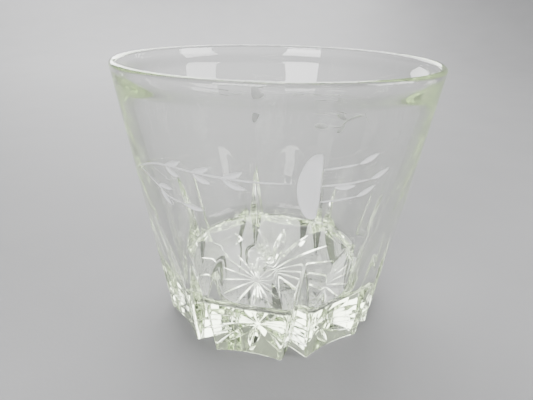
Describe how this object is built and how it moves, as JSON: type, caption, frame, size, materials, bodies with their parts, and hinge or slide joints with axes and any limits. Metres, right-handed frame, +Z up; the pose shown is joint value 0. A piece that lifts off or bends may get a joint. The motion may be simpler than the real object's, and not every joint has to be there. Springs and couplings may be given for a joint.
{
  "type": "whiskey tumbler",
  "caption": "Clear glass whiskey tumbler: flared straight wall, thick fluted and mitre-cut base with a star underneath, engraved leaf spray.",
  "frame": {"origin": "centre of the foot plane, on the axis of the glass", "axes": "+Z up along the axis; -Y is the front, where the engraved oval stands over a mitre groove"},
  "size_m": [0.0898, 0.0898, 0.078],
  "materials": {
    "clear_glass": "fire-polished clear glass with a faint green-yellow tint",
    "ground_glass": "matte wheel-ground glass"
  },
  "bodies": {
    "root": {"glass_body": "clear_glass", "engraved_ovals": "ground_glass", "engraved_leaves": "ground_glass", "engraved_stems": "ground_glass"}
  },
  "joints": []
}
